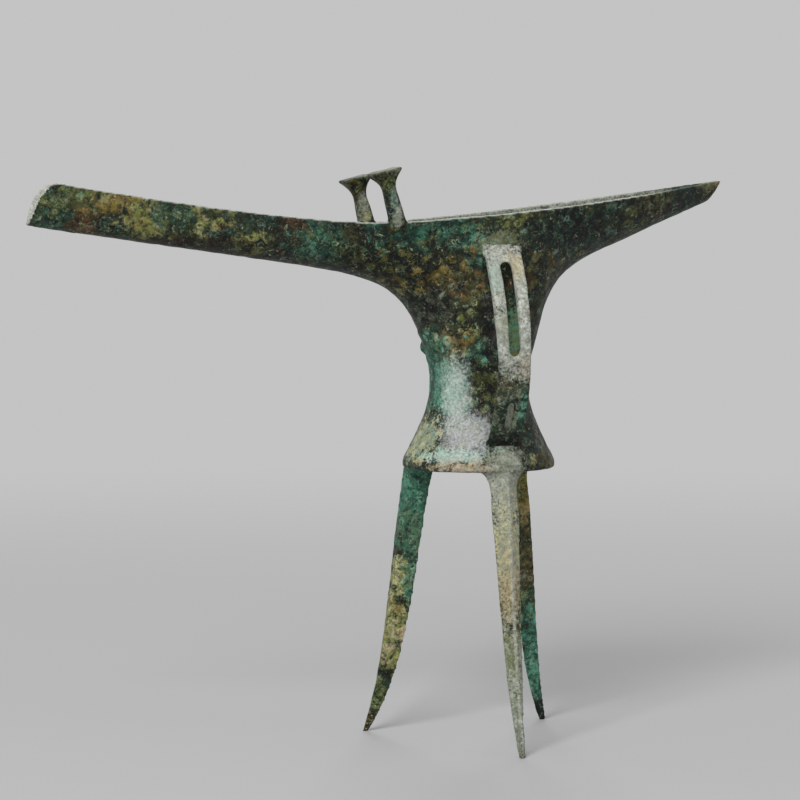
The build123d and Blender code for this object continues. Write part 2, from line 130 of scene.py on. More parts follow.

# Crusts on each finish, and a few dark marks of painted shade among them: centre, reach along X, Y and Z,
# light and dark colour, share of the light one, cover and how torn the edge is
CRUSTS_AND_SHADES = {
    "body": [
        ((-0.008, -0.006, 0.194), (0.024, 0.020, 0.016), "moss", "near_black", 0.35, 0.95, 0.8),
        ((0.012, -0.012, 0.199), (0.026, 0.020, 0.009), "teal", "deep_teal", 0.80, 0.90, 0.9),
        ((0.029, -0.013, 0.191), (0.012, 0.014, 0.008), "turquoise", "deep_teal", 0.60, 0.90, 0.9),
        ((0.014, -0.009, 0.184), (0.022, 0.018, 0.012), "ochre", "black_green", 0.90, 0.95, 1.0),
        ((0.026, -0.012, 0.179), (0.014, 0.014, 0.011), "orange", "olive", 0.55, 0.90, 1.0),
        ((0.014, -0.003, 0.170), (0.013, 0.014, 0.009), "grey_green", "near_black", 0.22, 0.95, 0.7),
        ((0.029, -0.012, 0.166), (0.010, 0.012, 0.010), "moss", "black_green", 0.55, 0.85, 1.0),
        ((0.056, -0.012, 0.188), (0.014, 0.014, 0.014), "ochre", "black_green", 0.60, 0.90, 1.0),
        ((0.045, -0.015, 0.205), (0.018, 0.012, 0.005), "moss", "olive", 0.80, 0.80, 0.9),
        ((0.066, -0.013, 0.201), (0.020, 0.014, 0.010), "turquoise", "near_black", 0.12, 0.95, 0.8),
        ((0.062, -0.010, 0.176), (0.010, 0.014, 0.010), "olive", "black_green", 0.80, 0.90, 0.9),
        ((0.019, -0.002, 0.156), (0.011, 0.012, 0.008), "sand", "olive", 0.85, 0.90, 1.0),
        ((0.028, -0.010, 0.157), (0.006, 0.010, 0.005), "tan", "ochre", 0.80, 0.85, 0.9),
        ((0.0315, -0.012, 0.152), (0.007, 0.010, 0.008), "turquoise", "deep_teal", 0.75, 0.90, 0.8),
        ((0.0180, 0.009, 0.146), (0.0055, 0.014, 0.019), "turquoise", "teal", 0.70, 0.90, 0.8),
        ((0.0335, -0.012, 0.141), (0.0085, 0.010, 0.012), "moss", "near_black", 0.45, 0.95, 0.8),
        ((0.012, 0.006, 0.121), (0.010, 0.018, 0.011), "pale_yellow", "near_black", 0.75, 0.95, 1.0),
        ((0.020, -0.012, 0.1150), (0.018, 0.014, 0.0030), "pale_turquoise", "turquoise", 0.70, 0.85, 0.7),
        ((0.020, -0.013, 0.1098), (0.018, 0.014, 0.0036), "cream", "ochre", 0.80, 0.90, 0.7),
        ((0.062, -0.004, 0.120), (0.013, 0.018, 0.011), "grey_green", "near_black", 0.50, 0.95, 0.9),
        ((0.060, -0.012, 0.1105), (0.013, 0.014, 0.0045), "ochre", "olive", 0.80, 0.90, 0.8),
        # Dark maroon strip down the handle's left edge: partly cuprite, partly painted shadow of the handle
        ((0.0345, -0.0125, 0.168), (0.0042, 0.005, 0.020), "maroon", "near_black", 0.85, 0.90, 0.4),
        ((0.0455, -0.013, 0.184), (0.0050, 0.008, 0.006), "orange", "near_black", 0.60, 0.90, 0.8),
        ((0.045, 0.035, 0.190), (0.030, 0.014, 0.014), "teal", "deep_teal", 0.70, 0.90, 1.0),
        ((0.020, 0.030, 0.170), (0.016, 0.014, 0.014), "ochre", "black_green", 0.80, 0.90, 1.0),
        ((0.062, 0.026, 0.165), (0.012, 0.014, 0.014), "moss", "black_green", 0.60, 0.90, 1.0),
        ((0.030, 0.036, 0.116), (0.022, 0.014, 0.008), "sand", "teal", 0.60, 0.85, 0.9),
        # Thin dark band at the skirt's lower edge and the base's underside: partly rust, partly painted
        # shade under the edge
        ((0.038, 0.009, 0.108), (0.040, 0.040, 0.0015), "rust", "near_black", 0.40, 0.85, 0.8),
    ],
    "spout": [
        ((-0.130, 0.002, 0.208), (0.020, 0.016, 0.012), "teal", "deep_green", 0.70, 0.90, 0.9),
        ((-0.122, 0.002, 0.212), (0.018, 0.014, 0.007), "moss", "olive", 0.60, 0.85, 1.0),
        ((-0.120, 0.001, 0.2035), (0.009, 0.012, 0.006), "orange", "rust", 0.75, 0.90, 0.9),
        ((-0.109, 0.001, 0.2105), (0.011, 0.012, 0.006), "tan", "ochre", 0.80, 0.90, 0.9),
        ((-0.110, 0.001, 0.2040), (0.008, 0.012, 0.005), "deep_teal", "black_green", 0.80, 0.90, 0.8),
        ((-0.098, 0.000, 0.204), (0.011, 0.012, 0.010), "tan", "moss", 0.80, 0.90, 0.9),
        ((-0.083, 0.000, 0.207), (0.014, 0.012, 0.008), "teal", "deep_green", 0.65, 0.85, 1.0),
        ((-0.070, 0.000, 0.204), (0.014, 0.012, 0.010), "sand", "moss", 0.75, 0.90, 0.8),
        ((-0.068, 0.000, 0.200), (0.009, 0.010, 0.005), "deep_teal", "black_green", 0.80, 0.95, 0.7),
        ((-0.071, 0.000, 0.2035), (0.004, 0.010, 0.002), "orange", "rust", 0.80, 0.85, 0.8),
        ((-0.057, -0.001, 0.197), (0.010, 0.012, 0.006), "sand", "moss", 0.70, 0.90, 0.9),
        # Dark band low on the spout's side: partly rust, partly painted shade where the wall turns under
        ((-0.088, 0.003, 0.196), (0.050, 0.012, 0.004), "rust", "near_black", 0.60, 0.85, 1.0),
        ((-0.052, -0.001, 0.206), (0.024, 0.012, 0.007), "deep_teal", "black_green", 0.50, 0.90, 0.9),
        ((-0.043, -0.002, 0.202), (0.008, 0.012, 0.005), "orange", "rust", 0.55, 0.85, 1.0),
        ((-0.042, -0.002, 0.195), (0.014, 0.012, 0.009), "rust", "black_green", 0.60, 0.90, 1.0),
        ((-0.037, -0.002, 0.199), (0.006, 0.012, 0.003), "moss", "olive", 0.80, 0.80, 0.9),
        ((-0.030, -0.003, 0.194), (0.014, 0.014, 0.010), "teal", "deep_teal", 0.70, 0.90, 0.9),
        ((-0.014, -0.004, 0.194), (0.012, 0.016, 0.014), "moss", "near_black", 0.35, 0.95, 0.8),
        # Near-black band along the spout's keel: partly rust, partly painted shade of the underside
        ((-0.075, 0.009, 0.188), (0.090, 0.012, 0.007), "rust", "near_black", 0.30, 0.90, 0.7),
        ((-0.100, 0.018, 0.206), (0.034, 0.010, 0.010), "moss", "deep_teal", 0.65, 0.85, 1.0),
        ((-0.050, 0.020, 0.198), (0.028, 0.010, 0.010), "ochre", "deep_green", 0.70, 0.85, 1.0),
    ],
    "tail": [
        ((0.086, -0.010, 0.204), (0.020, 0.014, 0.012), "turquoise", "near_black", 0.12, 0.95, 0.8),
        ((0.104, -0.006, 0.207), (0.016, 0.012, 0.008), "moss", "near_black", 0.30, 0.92, 1.0),
        ((0.112, -0.003, 0.213), (0.014, 0.010, 0.005), "tan", "olive", 0.35, 0.80, 1.0),
        ((0.114, -0.001, 0.209), (0.007, 0.010, 0.004), "orange", "rust", 0.45, 0.80, 1.0),
        ((0.126, 0.001, 0.211), (0.018, 0.010, 0.007), "deep_teal", "near_black", 0.35, 0.95, 0.8),
        ((0.137, 0.006, 0.219), (0.006, 0.008, 0.003), "tan", "rust", 0.70, 0.80, 1.0),
        ((0.100, 0.020, 0.207), (0.024, 0.012, 0.010), "teal", "olive", 0.65, 0.85, 1.0),
    ],
    "handle": [
        ((0.038, -0.027, 0.133), (0.014, 0.012, 0.016), "grey_green", "deep_green", 0.75, 0.95, 0.8),
        ((0.044, -0.028, 0.135), (0.004, 0.007, 0.012), "turquoise", "deep_teal", 0.70, 0.85, 1.0),
        ((0.036, -0.030, 0.143), (0.010, 0.008, 0.005), "rust", "olive", 0.50, 0.80, 1.0),
        ((0.038, -0.018, 0.117), (0.014, 0.012, 0.007), "deep_green", "near_black", 0.40, 0.95, 0.7),
    ],
    "posts": [
        ((-0.002, -0.010, 0.2015), (0.012, 0.012, 0.004), "moss", "near_black", 0.40, 0.95, 0.8),
        ((-0.008, -0.010, 0.2185), (0.010, 0.008, 0.005), "moss", "black_green", 0.55, 0.90, 0.9),
        ((-0.008, 0.027, 0.2170), (0.010, 0.008, 0.005), "ochre", "black_green", 0.65, 0.90, 0.9),
        ((-0.004, -0.010, 0.210), (0.0025, 0.008, 0.008), "deep_teal", "near_black", 0.60, 0.70, 0.9),
    ],
    "legs": [
        ((0.015, 0.022, 0.091), (0.016, 0.016, 0.029), "turquoise", "teal", 0.60, 0.95, 0.8),
        ((0.014, 0.022, 0.082), (0.008, 0.012, 0.008), "ochre", "olive", 0.60, 0.40, 1.2),
        ((0.008, 0.024, 0.072), (0.005, 0.012, 0.006), "olive", "near_black", 0.60, 0.90, 0.9),
        ((0.010, 0.024, 0.062), (0.007, 0.012, 0.009), "pale_yellow", "moss", 0.80, 0.90, 1.1),
        ((0.014, 0.025, 0.058), (0.003, 0.010, 0.012), "turquoise", "teal", 0.80, 0.80, 0.9),
        ((0.010, 0.026, 0.049), (0.010, 0.012, 0.009), "pale_yellow", "moss", 0.70, 0.90, 1.1),
        ((0.010, 0.026, 0.051), (0.004, 0.012, 0.004), "orange", "ochre", 0.70, 0.80, 1.0),
        ((0.007, 0.028, 0.034), (0.009, 0.012, 0.011), "cream", "moss", 0.60, 0.90, 1.1),
        ((0.006, 0.030, 0.023), (0.008, 0.012, 0.003), "olive", "near_black", 0.50, 0.90, 0.8),
        ((0.003, 0.031, 0.013), (0.010, 0.012, 0.010), "moss", "deep_green", 0.70, 0.90, 0.8),
        ((0.000, 0.034, 0.003), (0.012, 0.014, 0.006), "ochre", "near_black", 0.55, 0.90, 0.8),
        ((0.063, 0.021, 0.095), (0.014, 0.016, 0.018), "moss", "ochre", 0.75, 0.90, 0.9),
        ((0.062, 0.021, 0.088), (0.005, 0.012, 0.005), "sand", "tan", 0.80, 0.85, 0.9),
        ((0.067, 0.024, 0.068), (0.012, 0.014, 0.013), "orange", "olive", 0.60, 0.90, 0.9),
        ((0.070, 0.024, 0.064), (0.004, 0.012, 0.008), "ochre", "rust", 0.60, 0.80, 0.9),
        ((0.069, 0.026, 0.048), (0.010, 0.012, 0.008), "moss", "deep_green", 0.65, 0.85, 0.9),
        ((0.072, 0.028, 0.028), (0.012, 0.016, 0.024), "turquoise", "teal", 0.70, 0.95, 0.8),
        ((0.077, 0.034, 0.004), (0.008, 0.010, 0.006), "deep_green", "near_black", 0.50, 0.90, 0.8),
    ],
    "inside": [
        ((0.038, 0.009, 0.115), (0.030, 0.030, 0.014), "olive", "deep_green", 0.60, 0.80, 0.9),
        ((0.060, 0.015, 0.185), (0.020, 0.020, 0.012), "turquoise", "deep_teal", 0.50, 0.70, 1.2),
        ((0.010, 0.009, 0.190), (0.030, 0.030, 0.014), "moss", "deep_teal", 0.60, 0.70, 1.2),
    ],
}

# Pale powdery blooms on each finish, and some pale marks of painted highlight and painted light: centre,
# reach, two colours, cover and how grainy the edge is
BLOOMS_AND_HIGHLIGHTS = {
    "body": [
        ((0.0205, -0.001, 0.141), (0.006, 0.009, 0.012), "pale_turquoise", "turquoise", 0.60, 0.8),
        ((0.0235, -0.005, 0.136), (0.0060, 0.010, 0.018), "chalk", "pale_turquoise", 0.72, 0.7),
        # Pale lilac patch low on the near waist: partly bloom, partly painted highlight of the key light
        ((0.0265, -0.009, 0.121), (0.0125, 0.013, 0.011), "lilac", "pale_grey", 0.92, 0.6),
        ((0.0130, 0.004, 0.119), (0.0070, 0.014, 0.009), "pale_yellow", "pale_turquoise", 0.60, 2.4),
        ((0.0200, -0.011, 0.1140), (0.0150, 0.014, 0.0032), "pale_turquoise", "chalk", 0.75, 1.2),
        ((0.0250, -0.013, 0.1098), (0.0120, 0.012, 0.0030), "cream", "pale_grey", 0.65, 1.8),
        ((0.0380, -0.0205, 0.1115), (0.0095, 0.007, 0.0085), "pale_grey", "grey_green", 0.85, 1.0),
        # Lighter colour on the body seen through the handle's slots: partly pale crust, partly painted light
        # on the wall in the handle's shadow
        ((0.0430, -0.0125, 0.129), (0.0050, 0.006, 0.011), "grey", "grey_green", 0.75, 0.8),
        ((0.0455, -0.0125, 0.160), (0.0055, 0.007, 0.016), "moss", "turquoise", 0.85, 1.3),
        ((0.0370, -0.0165, 0.197), (0.0100, 0.007, 0.005), "grey", "moss", 0.50, 1.6),
        ((0.050, 0.028, 0.135), (0.014, 0.014, 0.018), "lilac", "pale_grey", 0.65, 0.8),
    ],
    "spout": [],
    "tail": [
        ((0.134, 0.005, 0.219), (0.007, 0.008, 0.0016), "grey_green", "moss", 0.35, 1.4),
    ],
    "handle": [
        ((0.038, -0.022, 0.184), (0.020, 0.016, 0.024), "chalk", "grey", 0.90, 1.0),
        ((0.038, -0.030, 0.163), (0.020, 0.012, 0.019), "chalk", "grey", 0.86, 1.1),
        ((0.0415, -0.021, 0.188), (0.005, 0.007, 0.007), "pale_yellow", "cream", 0.60, 1.2),
        ((0.033, -0.021, 0.182), (0.004, 0.007, 0.010), "pale_turquoise", "pale_grey", 0.50, 1.2),
        ((0.034, -0.029, 0.166), (0.003, 0.007, 0.006), "moss", "grey_green", 0.40, 1.4),
        ((0.043, -0.030, 0.150), (0.005, 0.007, 0.006), "cream", "grey", 0.45, 0.9),
    ],
    "posts": [
        ((-0.0030, -0.011, 0.2065), (0.0022, 0.008, 0.0050), "pale_grey", "grey_green", 0.75, 1.3),
        ((-0.0045, -0.011, 0.2125), (0.0020, 0.008, 0.0050), "pale_grey", "teal", 0.60, 1.6),
        ((-0.0034, 0.025, 0.2065), (0.0024, 0.008, 0.0050), "pale_yellow", "grey_green", 0.80, 1.2),
        ((-0.0048, 0.025, 0.2115), (0.0022, 0.008, 0.0050), "pale_grey", "grey_green", 0.80, 1.3),
        ((-0.008, 0.009, 0.2245), (0.014, 0.034, 0.0030), "pale_grey", "moss", 0.70, 0.8),
    ],
    "legs": [
        ((0.038, -0.024, 0.104), (0.018, 0.014, 0.018), "pale_grey", "grey", 0.90, 1.1),
        ((0.038, -0.027, 0.078), (0.014, 0.016, 0.026), "pale_yellow", "grey", 0.86, 1.3),
        ((0.037, -0.029, 0.060), (0.007, 0.010, 0.016), "cream", "ochre", 0.60, 1.8),
        ((0.038, -0.033, 0.036), (0.014, 0.016, 0.022), "pale_grey", "moss", 0.68, 1.6),
        ((0.038, -0.036, 0.016), (0.014, 0.016, 0.022), "pale_grey", "grey_green", 0.75, 1.4),
        # Thin pale line down the front leg's ridge: painted highlight on the ridge
        ((0.0385, -0.030, 0.055), (0.0010, 0.030, 0.075), "chalk", "pale_grey", 0.50, 0.6),
    ],
    "inside": [
        ((-0.060, 0.009, 0.210), (0.190, 0.060, 0.014), "pale_grey", "grey", 0.80, 0.6),
        ((-0.050, 0.009, 0.214), (0.190, 0.060, 0.011), "chalk", "pale_grey", 0.60, 0.6),
        # Pale crescent inside the spout's tip: partly pale crust, partly painted highlight
        ((-0.136, 0.012, 0.211), (0.016, 0.020, 0.016), "chalk", "pale_grey", 0.90, 0.4),
    ],
}

# Layers of the dark ground: shift, size, low and high level of the noise, cover and colour
GROUND = [
    ((0.3, 0.1, 0.2), 0.0065, 0.50, 0.60, 0.85, "deep_teal"),
    ((0.2, 0.8, 0.5), 0.0080, 0.53, 0.61, 0.80, "olive"),
    ((0.5, 0.6, 0.8), 0.0050, 0.57, 0.64, 0.70, "ochre"),
    ((0.6, 0.2, 0.3), 0.0045, 0.58, 0.65, 0.75, "rust"),
    ((0.1, 0.5, 0.9), 0.0050, 0.52, 0.61, 0.85, "near_black"),
]

# Scattered grains: shift, size, low and high level of the noise, cover and colour
GRAINS = [
    ((0.11, 0.52, 0.27), 0.0018, 0.61, 0.68, 0.50, "turquoise"),
    ((0.83, 0.36, 0.14), 0.0022, 0.62, 0.69, 0.60, "orange"),
    ((0.43, 0.16, 0.71), 0.0014, 0.61, 0.67, 0.75, "pale_yellow"),
]

# Kinds of noise: shift, detail, roughness and distortion
UNSHIFTED = (0.0, 0.0, 0.0)
SWIRL_NOISE = (UNSHIFTED, 4.0, 0.60, 0.0)
BROAD_NOISE = (UNSHIFTED, 5.0, 0.62, 0.3)
ISLAND_NOISE = ((0.9, 0.3, 0.6), 7.0, 0.74, 0.3)
MOTTLE_NOISE = ((0.4, 0.7, 0.1), 6.0, 0.76, 0.4)
HOLLOW_NOISE = ((0.5, 0.6, 0.3), 4.0, 0.70, 0.0)
DUST_NOISE = ((0.7, 0.4, 0.9), 4.0, 0.75, 0.0)
THREAD_NOISE = ((0.2, 0.9, 0.4), 3.0, 0.55, 0.8)
BREAK_NOISE = ((0.6, 0.1, 0.8), 4.0, 0.65, 0.0)

# Detail, roughness and distortion of the ground's layers and of the grains, whose rows give the shifts
GROUND_NOISE = (6.0, 0.70, 0.4)
GRAIN_NOISE = (4.0, 0.75, 0.6)

# Levels of a field between which each effect comes in or goes out
MIDDLE = 0.5
BROAD_LEVELS = (0.42, 0.58)
LIGHT_LEVELS = (0.46, 0.58)
CRUST_AND_SHADE_EDGE = (-1.10, -0.65)
BLOOM_AND_HIGHLIGHT_EDGE = (-1.15, -0.45)
BLOOM_AND_HIGHLIGHT_LEVELS = (0.36, 0.64)
THREAD_LEVELS = (0.015, 0.040)
BREAK_LEVELS = (0.47, 0.58)
RING_RADIUS = 0.34
RING_LEVELS = (0.05, 0.11)
RING_CHANCES = (0.50, 0.60)

# How far a lump's random values shift the mottling and the tearing
LUMP_SPREAD = 0.30
TEAR_SPREAD = 0.20

# Shading by a field: its low and high level, and the brightness or roughness at each
HOLLOW_SHADE = (0.36, 0.52, 0.30, 1.15)
DUST_SHADE = (0.34, 0.60, 0.70, 1.13)
ISLAND_ROUGHNESS = (0.36, 0.64, 0.40, 0.62)

# Shading of the lumps: distances from the middle to the edge, brightness there and how much is lost
LUMP_EDGE = (0.42, 0.66)
LUMP_BRIGHTNESS = 1.10
LUMP_LOSS = 0.65

# Share of the light parts in the finest relief, and its strength
LIGHT_RELIEF = 0.35
BUMP_STRENGTH = 0.6

# Melting and roughening of the skin
WELD_DISTANCE = 0.000001
SMOOTHING_SHARE = 0.5
LUMP_SHIFT = Vector((7.3, 1.9, 4.4))
PIT_SHIFT = Vector((2.1, 8.7, 5.5))

FLOOR_ROUGHNESS = 0.9
FLOOR_GLOSS = 0.2


# Settings


def linear(code):
    """A colour written as six hexadecimal digits, taken from the sRGB curve to the shaders' linear one."""
    values = []
    for start in (0, 2, 4):
        share = int(code[start:start + 2], 16) / 255
        values.append(share / 12.92 if share <= 0.04045 else ((share + 0.055) / 1.055) ** 2.4)
    return values


def tint(name, description, code):
    """Property for one colour, which is given as it looks under plain daylight."""
    return bpy.props.FloatVectorProperty(
        name=name, description=description, default=linear(code), min=0.0, max=1.0, subtype="COLOR",
    )


def length(name, description, default):
    """Property for one length."""
    return bpy.props.FloatProperty(
        name=name, description=description, default=default, min=0.0, unit="LENGTH", precision=6,
    )


def amount(name, description, default):
    """Property for one plain number."""
    return bpy.props.FloatProperty(name=name, description=description, default=default, min=0.0)


class JueCastSettings(bpy.types.PropertyGroup):
    """How the CAD members become one cast skin."""

    overlap: length("Overlap", "How far each member is grown into its neighbours before they melt", 0.00006)
    voxel: length("Voxel", "Size of the grid on which the members are melted together", 0.00057)
    smoothing: bpy.props.IntProperty(
        name="Smoothing", description="Passes that round the edges and fill the corners", default=8, min=0,
    )
    swell: length("Swell", "Height of the slow unevenness of a clay-mould casting", 0.00022)
    swell_reach: length("Swell reach", "Distance over which the unevenness changes", 0.018)
    crust: length("Crust", "Height of the lumps of corrosion", 0.00015)
    crust_reach: length("Crust reach", "Size of the lumps of corrosion", 0.0042)
    pit: length("Pit", "Depth of the corrosion pits", 0.00030)
    pit_reach: length("Pit reach", "Size of the corrosion pits", 0.0022)
    pit_level: amount("Pit level", "Noise level above which the surface is pitted", 0.34)


class JuePatinaSettings(bpy.types.PropertyGroup):
    """Colours and sizes of the corrosion."""

    # Near black is also the dark of the painted shade along the spout's underside, under the skirt's edge
    # and beside the handle
    near_black: tint("Near black", "Pits and bare dark metal", "0d100f")
    black_green: tint("Black green", "Darkest ground", "141c15")
    deep_green: tint("Deep green", "Dark ground", "203225")
    deep_teal: tint("Deep teal", "Dark malachite", "214639")
    teal: tint("Teal", "Malachite", "38705a")
    turquoise: tint("Turquoise", "Bright malachite", "64a48b")
    pale_turquoise: tint("Pale turquoise", "Powdery malachite", "9cc4b7")
    olive: tint("Olive", "Dark green-brown crust", "474a2b")
    moss: tint("Moss", "Yellow-green crust", "7d8443")
    ochre: tint("Ochre", "Brown-yellow crust", "7c6b31")
    tan: tint("Tan", "Earthy crust", "96834f")
    sand: tint("Sand", "Pale earthy crust", "b3a576")
    rust: tint("Rust", "Dark cuprite", "432d1b")
    orange: tint("Orange", "Bright cuprite", "6f4a25")
    # Maroon paints the strip beside the handle's left edge: partly cuprite, partly painted shadow of the
    # handle
    maroon: tint("Maroon", "Shaded cuprite", "33262a")
    cream: tint("Cream", "Pinkish pale crust", "c9b092")
    pale_yellow: tint("Pale yellow", "Yellowish pale crust", "cfca9a")
    grey_green: tint("Grey green", "Dull bloom", "848c76")
    grey: tint("Grey", "Darker bloom", "9ca092")
    pale_grey: tint("Pale grey", "Bloom", "b5b9ab")
    # Lilac also paints the highlight on the near waist
    lilac: tint("Lilac", "Cool bloom", "c8cad0")
    # Chalk is also the colour of the painted highlights on the lips' tops, the front leg's ridge and inside
    # the spout's tip
    chalk: tint("Chalk", "Worn edges", "dfe2d7")
    broad_size: length("Broad size", "Size of the broad mottling of the ground", 0.020)
    swirl_size: length("Swirl size", "Size of the bends that distort the blots", 0.008)
    swirl_reach: length("Swirl reach", "How far the blots are bent", 0.0045)
    island_size: length("Island size", "Size of the islands into which a crust breaks up", 0.0048)
    grain_size: length("Grain size", "Size of the mottling inside a crust", 0.0024)
    lump_size: length("Lump size", "Size of the lumps and rings of a crust", 0.0034)
    thread_size: length("Thread size", "Size of the pale threads on a crust", 0.0030)
    pit_size: length("Pit size", "Size of the dark pits", 0.0020)
    dust_size: length("Dust size", "Size of the finest grain", 0.0010)
    tearing: amount("Tearing", "How strongly the crusts' edges are torn", 4.2)
    grit: amount("Grit", "How strongly the blooms' edges break into grains", 1.7)
    relief: length("Relief", "Height of the finest relief", 0.0006)
    thread_cover: amount("Thread cover", "How clearly the pale threads show", 0.28)
    gloss: amount("Gloss", "Specular level of the surface", 0.25)


class JueStageSettings(bpy.types.PropertyGroup):
    """Camera, floor and light."""

    eye: bpy.props.FloatVectorProperty(
        name="Eye", description="Where the camera stands", default=(-0.34649, -0.98351, 0.20286),
        unit="LENGTH", precision=5,
    )
    heading: bpy.props.FloatProperty(
        name="Heading", description="Turn of the view away from +Y towards +X", default=math.radians(19.505),
        unit="ROTATION",
    )
    tilt: bpy.props.FloatProperty(
        name="Tilt", description="How far the camera looks down", default=math.radians(3.687),
        unit="ROTATION",
    )
    lens: amount("Lens", "Focal length for the sensor's width, in millimetres", 121.37)
    sensor: amount("Sensor", "Width of the sensor, in millimetres", 36.0)
    floor_colour: tint("Floor", "Colour of the floor", "cbcbcc")
    floor_near: length("Floor near", "Distance from the vessel at which the floor starts to fade", 0.30)
    floor_far: length("Floor far", "Distance at which the floor has faded away", 1.30)
    backdrop: amount("Backdrop", "Brightness of the plain background", 0.55)
    ambient: amount("Ambient", "Strength of the even light from all round", 0.30)
    key_place: bpy.props.FloatVectorProperty(
        name="Key place", description="Where the main light hangs, above and left of the camera",
        default=(-1.5, -1.8, 1.9), unit="LENGTH",
    )
    key_power: amount("Key power", "Power of the main light, in watts", 56.0)
    fill_place: bpy.props.FloatVectorProperty(
        name="Fill place", description="Where the weak light at the tail's side hangs",
        default=(1.8, -1.6, 1.2), unit="LENGTH",
    )
    fill_power: amount("Fill power", "Power of the weak light, in watts", 4.0)
    back_place: bpy.props.FloatVectorProperty(
        name="Back place", description="Where the light behind the vessel hangs", default=(0.8, 2.0, 1.8),
        unit="LENGTH",
    )
    back_power: amount("Back power", "Power of the light behind the vessel, in watts", 16.0)
    lamp_width: length("Lamp width", "Width of each light", 1.3)


# Node tools


def add_node(tree, kind, settings=None, inputs=None):
    """New shader node with its settings made, and its inputs linked to sockets or set to values."""
    made = tree.nodes.new(kind)
    for name, value in (settings or {}).items():
        setattr(made, name, value)
    for key, value in (inputs or {}).items():
        if isinstance(value, bpy.types.NodeSocket):
            tree.links.new(value, made.inputs[key])
        else:
            made.inputs[key].default_value = value
    return made


def mix_colour(tree, share, first, second):
    """Colour that goes from the first to the second as share goes from 0 to 1."""
    made = add_node(
        tree, "ShaderNodeMix", {"data_type": "RGBA", "clamp_factor": True}, {0: share, 6: first, 7: second},
    )
    return made.outputs[2]


def calculate(tree, operation, first, second=0.0):
    """Result of one sum on one or two values."""
    made = add_node(tree, "ShaderNodeMath", {"operation": operation}, {0: first, 1: second})
    return made.outputs[0]


def combine(tree, operation, first, second):
    """Result of one sum on two vectors."""
    made = add_node(tree, "ShaderNodeVectorMath", {"operation": operation}, {0: first, 1: second})
    return made.outputs[0]


def scaled(tree, colour, share):
    """Colour made darker or lighter by a share."""
    made = add_node(tree, "ShaderNodeVectorMath", {"operation": "SCALE"}, {0: colour, "Scale": share})
    return made.outputs[0]


def stretch(tree, value, low, high, to_low=0.0, to_high=1.0):
    """Value spread smoothly from its range to another one."""
    made = add_node(
        tree, "ShaderNodeMapRange", {"interpolation_type": "SMOOTHSTEP"},
        {"Value": value, "From Min": low, "From Max": high, "To Min": to_low, "To Max": to_high},
    )
    return made.outputs["Result"]


def noise_field(tree, place, size, kind, output="Fac"):
    """Noise of one kind, whose features have about the given size."""
    shift, detail, roughness, distortion = kind
    made = add_node(
        tree, "ShaderNodeTexNoise", {"noise_dimensions": "3D"},
        {
            "Vector": combine(tree, "ADD", place, shift),
            "Scale": 1 / size,
            "Detail": detail,
            "Roughness": roughness,
            "Distortion": distortion,
        },
    )
    return made.outputs[output]


def lump_fields(tree, place, size):
    """Distance from the middle of the nearest lump, and three random values of that lump."""
    made = add_node(
        tree, "ShaderNodeTexVoronoi", {"feature": "F1"},
        {"Vector": place, "Scale": 1 / size, "Randomness": 1.0},
    )
    chances = add_node(tree, "ShaderNodeSeparateColor", None, {"Color": made.outputs["Color"]}).outputs
    return made.outputs["Distance"], chances["Red"], chances["Green"], chances["Blue"]


def centred(tree, value, gain):
    """Value measured from its middle level, and multiplied."""
    return calculate(tree, "MULTIPLY", calculate(tree, "SUBTRACT", value, MIDDLE), gain)


def away_from(tree, place, centre, reach):
    """Distance from a centre, where 1 is the reach along each axis."""
    local = add_node(
        tree, "ShaderNodeVectorMath", {"operation": "MULTIPLY_ADD"},
        {0: place, 1: [1 / r for r in reach], 2: [-c / r for c, r in zip(centre, reach)]},
    ).outputs[0]
    return add_node(tree, "ShaderNodeVectorMath", {"operation": "LENGTH"}, {0: local}).outputs["Value"]


# Patina


def palette(patina, name):
    """Colour of the patina as the four values that sockets take."""
    return (*getattr(patina, name), 1.0)


def bent_place(tree, place, patina):
    """Coordinates that are bent a little, so that nothing on the surface is round or straight."""
    bends = noise_field(tree, place, patina.swirl_size, SWIRL_NOISE, output="Color")
    both_ways = combine(tree, "SUBTRACT", bends, (MIDDLE, MIDDLE, MIDDLE))
    return combine(tree, "ADD", place, scaled(tree, both_ways, patina.swirl_reach))


def ground_colour(tree, place, patina):
    """Dark mottled metal that lies under all the crusts."""
    broad = noise_field(tree, place, patina.broad_size, BROAD_NOISE)
    first, second = palette(patina, "black_green"), palette(patina, "deep_green")
    colour = mix_colour(tree, stretch(tree, broad, *BROAD_LEVELS), first, second)
    for shift, size, low, high, cover, name in GROUND:
        field = noise_field(tree, place, size, (shift, *GROUND_NOISE))
        colour = mix_colour(tree, stretch(tree, field, low, high, 0.0, cover), colour, palette(patina, name))
    return colour


def thread_field(tree, place, patina, away, chance):
    """Broken pale threads, and rings on some of the lumps, as crystals grow on old bronze."""
    lines = noise_field(tree, place, patina.thread_size, THREAD_NOISE)
    off_middle = calculate(tree, "ABSOLUTE", calculate(tree, "SUBTRACT", lines, MIDDLE))
    threads = stretch(tree, off_middle, *THREAD_LEVELS, 1.0, 0.0)
    off_ring = calculate(tree, "ABSOLUTE", calculate(tree, "SUBTRACT", away, RING_RADIUS))
    rings = stretch(tree, off_ring, *RING_LEVELS, 1.0, 0.0)
    rings = calculate(tree, "MULTIPLY", rings, stretch(tree, chance, *RING_CHANCES))
    breaks = noise_field(tree, place, patina.island_size, BREAK_NOISE)
    kept = stretch(tree, breaks, *BREAK_LEVELS)
    return calculate(tree, "MULTIPLY", calculate(tree, "MAXIMUM", threads, rings), kept)


